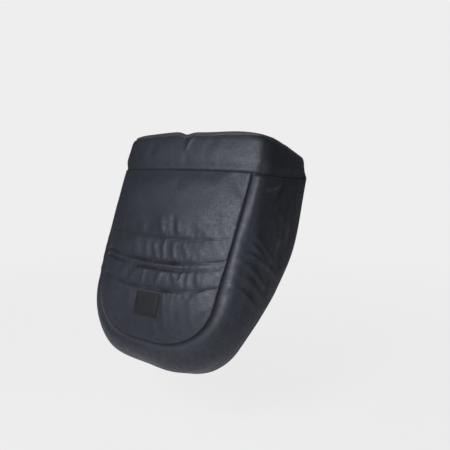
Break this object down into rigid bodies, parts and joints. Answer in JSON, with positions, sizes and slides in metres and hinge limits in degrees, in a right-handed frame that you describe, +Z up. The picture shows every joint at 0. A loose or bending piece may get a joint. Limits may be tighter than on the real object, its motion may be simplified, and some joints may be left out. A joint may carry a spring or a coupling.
{
  "type": "stroller footmuff",
  "caption": "Padded leg cover for a pushchair: leaning quilted front panel with gathered channels, rounded side wall, stand-up cuff, toe pocket, and straps with press studs round the chassis.",
  "frame": {"origin": "on the floor of the toe pocket, where the footrest carries the cover", "axes": "+Z up, -Y towards the front of the pushchair, +X towards the seated child's left"},
  "size_m": [0.425, 0.3715, 0.5483],
  "materials": {
    "shell_fabric": "woven polyester with a soft sheen",
    "wadding": "matt polyester wadding",
    "lining_fleece": "matt brushed fleece",
    "binding_tape": "matt woven tape",
    "elastic": "matt ribbed elastic",
    "label_fabric": "matt plain cloth, left bare",
    "webbing": "matt woven webbing",
    "patch_fabric": "matt coated cloth",
    "snap_metal": "dark satin metal"
  },
  "bodies": {
    "root": {"cuff_lining": "lining_fleece", "cuff_shell": "shell_fabric", "cuff_top_binding": "binding_tape", "cuff_wadding": "wadding", "front_panel_lining": "lining_fleece", "front_panel_shell": "shell_fabric", "front_panel_wadding": "wadding", "label_patch": "label_fabric", "left_rear_binding": "binding_tape", "left_snap_post": "snap_metal", "left_snap_stud": "snap_metal", "left_strap_anchor": "webbing", "left_strap_patch": "patch_fabric", "lower_gather_elastic": "elastic", "middle_gather_elastic": "elastic", "pocket_back_lining": "lining_fleece", "pocket_back_shell": "shell_fabric", "pocket_hem_binding": "binding_tape", "pocket_hem_elastic": "elastic", "right_rear_binding": "binding_tape", "right_snap_post": "snap_metal", "right_snap_stud": "snap_metal", "right_strap_anchor": "webbing", "right_strap_patch": "patch_fabric", "side_wall_lining": "lining_fleece", "side_wall_shell": "shell_fabric", "side_wall_wadding": "wadding", "upper_gather_elastic": "elastic"},
    "left_strap": {"left_strap": "webbing", "left_snap_cap": "snap_metal", "left_snap_socket": "snap_metal"},
    "right_strap": {"right_strap": "webbing", "right_snap_cap": "snap_metal", "right_snap_socket": "snap_metal"}
  },
  "joints": [
    {"name": "left_strap_opens", "type": "hinge", "parent": "root", "child": "left_strap", "pos_m": [0.19115, 0.17152, 0.30233], "axis": [0, 0.3795, 0.9252], "range_deg": [0, 90]},
    {"name": "right_strap_opens", "type": "hinge", "parent": "root", "child": "right_strap", "pos_m": [-0.19115, 0.17152, 0.30233], "axis": [0, -0.3795, -0.9252], "range_deg": [0, 90]}
  ]
}
